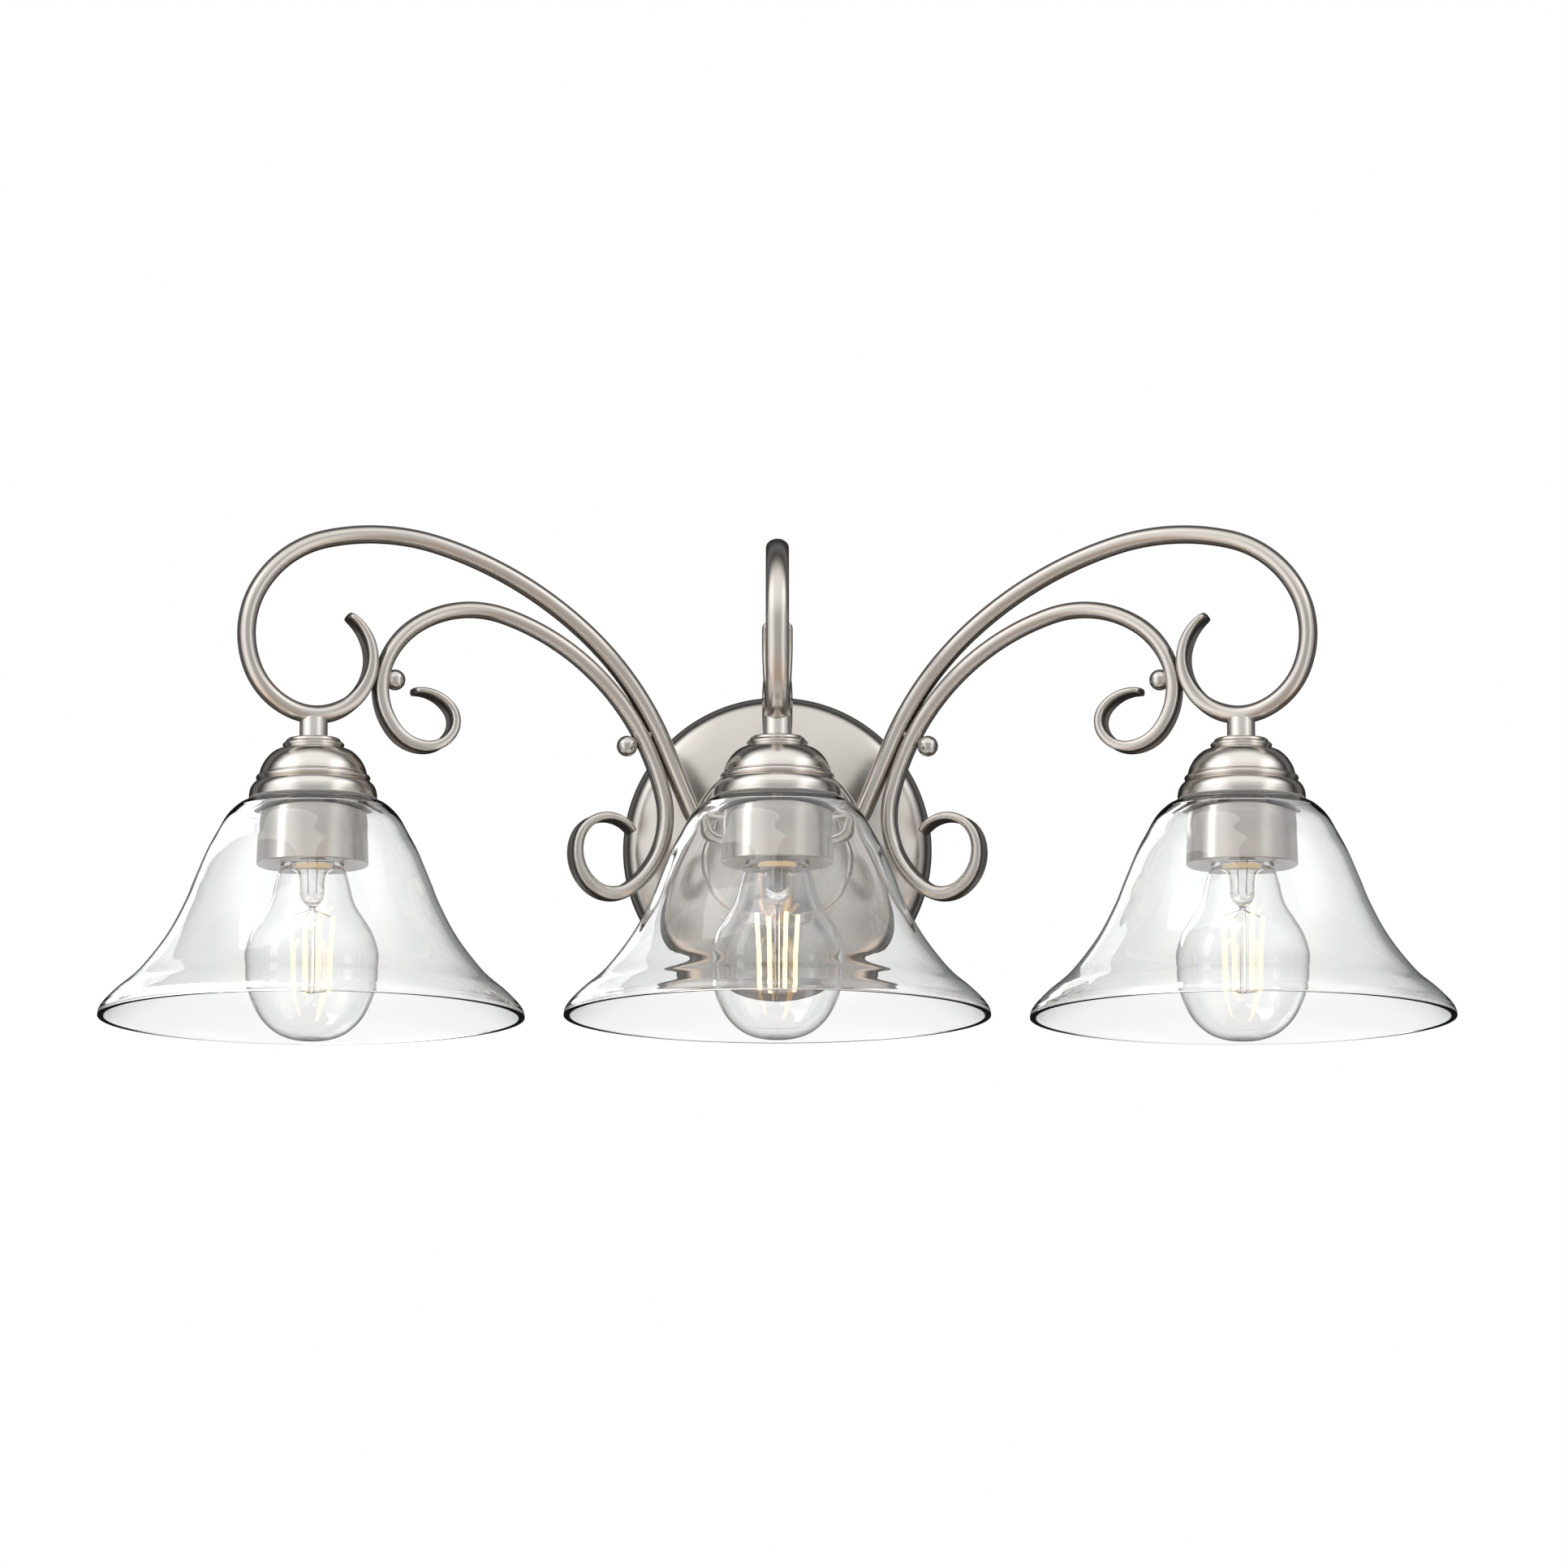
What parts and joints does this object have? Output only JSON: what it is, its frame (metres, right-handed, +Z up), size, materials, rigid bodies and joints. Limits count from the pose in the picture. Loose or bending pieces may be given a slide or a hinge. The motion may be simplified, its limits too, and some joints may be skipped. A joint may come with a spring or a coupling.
{
  "type": "vanity light bar",
  "caption": "Wall vanity light bar: round domed canopy, scrolled tube arms with ball details, and clear bell glass shades opening down over clear screw-base bulbs.",
  "frame": {"origin": "centre of the canopy's back, on the wall plane", "axes": "+X along the bar, -Y straight out from the wall, +Z up"},
  "size_m": [0.6108, 0.211, 0.2367],
  "materials": {
    "satin_nickel": "satin nickel plate with a fine brushed grain",
    "polished_nickel": "polished nickel plate",
    "zinc_steel": "zinc-plated steel, dull",
    "green_screw": "green lacquered steel",
    "porcelain": "white glazed porcelain",
    "brass": "bare brass, slightly dull",
    "gasket": "black silicone",
    "shade_glass": "clear blown glass, smooth and glossy",
    "bulb_metal": "nickel-plated rolled thread",
    "bulb_glass": "clear thin bulb glass",
    "stem_glass": "clear pressed glass stem with fine wires",
    "filament": "warm yellow phosphor strips, lit",
    "lead_cover": "black insulated lead",
    "wire_nut": "orange moulded connector"
  },
  "bodies": {
    "fixture": {"canopy": "satin_nickel", "mounting_bracket": "zinc_steel", "ground_screw": "green_screw", "centre_pipe": "zinc_steel", "pipe_nuts": "zinc_steel", "hub": "satin_nickel", "finial": "polished_nickel", "arm_left": "satin_nickel", "arm_middle": "satin_nickel", "arm_right": "satin_nickel", "scroll_left": "satin_nickel", "scroll_middle": "satin_nickel", "scroll_right": "satin_nickel", "ball_studs": "polished_nickel", "neck_left": "polished_nickel", "neck_middle": "polished_nickel", "neck_right": "polished_nickel", "cap_left": "satin_nickel", "cap_middle": "satin_nickel", "cap_right": "satin_nickel", "lamp_pipes": "zinc_steel", "lamp_nuts": "zinc_steel", "socket_left": "porcelain", "socket_middle": "porcelain", "socket_right": "porcelain", "shell_left": "brass", "shell_middle": "brass", "shell_right": "brass", "contacts": "brass", "gaskets": "gasket", "shade_left": "shade_glass", "shade_middle": "shade_glass", "shade_right": "shade_glass", "lead_left": "lead_cover", "lead_middle": "lead_cover", "lead_right": "lead_cover", "wire_nuts": "wire_nut"},
    "bulb_left": {"bulb_base_left": "bulb_metal", "bulb_glass_left": "bulb_glass", "bulb_stem_left": "stem_glass", "filaments_left": "filament"},
    "collar_left": {"collar_left": "satin_nickel"},
    "bulb_middle": {"bulb_base_middle": "bulb_metal", "bulb_glass_middle": "bulb_glass", "bulb_stem_middle": "stem_glass", "filaments_middle": "filament"},
    "collar_middle": {"collar_middle": "satin_nickel"},
    "bulb_right": {"bulb_base_right": "bulb_metal", "bulb_glass_right": "bulb_glass", "bulb_stem_right": "stem_glass", "filaments_right": "filament"},
    "collar_right": {"collar_right": "satin_nickel"}
  },
  "joints": [
    {"name": "bulb_turn_left", "type": "hinge", "parent": "fixture", "child": "bulb_left", "pos_m": [-0.2094, -0.1098, -0.02], "axis": [0, 0, -1], "range_deg": [0, 1800]},
    {"name": "collar_turn_left", "type": "hinge", "parent": "fixture", "child": "collar_left", "pos_m": [-0.2094, -0.1098, 0], "axis": [0, 0, -1], "range_deg": [0, 540]},
    {"name": "bulb_turn_middle", "type": "hinge", "parent": "fixture", "child": "bulb_middle", "pos_m": [0, -0.115, -0.02], "axis": [0, 0, -1], "range_deg": [0, 1800]},
    {"name": "collar_turn_middle", "type": "hinge", "parent": "fixture", "child": "collar_middle", "pos_m": [0, -0.115, 0], "axis": [0, 0, -1], "range_deg": [0, 540]},
    {"name": "bulb_turn_right", "type": "hinge", "parent": "fixture", "child": "bulb_right", "pos_m": [0.2094, -0.1098, -0.02], "axis": [0, 0, -1], "range_deg": [0, 1800]},
    {"name": "collar_turn_right", "type": "hinge", "parent": "fixture", "child": "collar_right", "pos_m": [0.2094, -0.1098, 0], "axis": [0, 0, -1], "range_deg": [0, 540]}
  ]
}
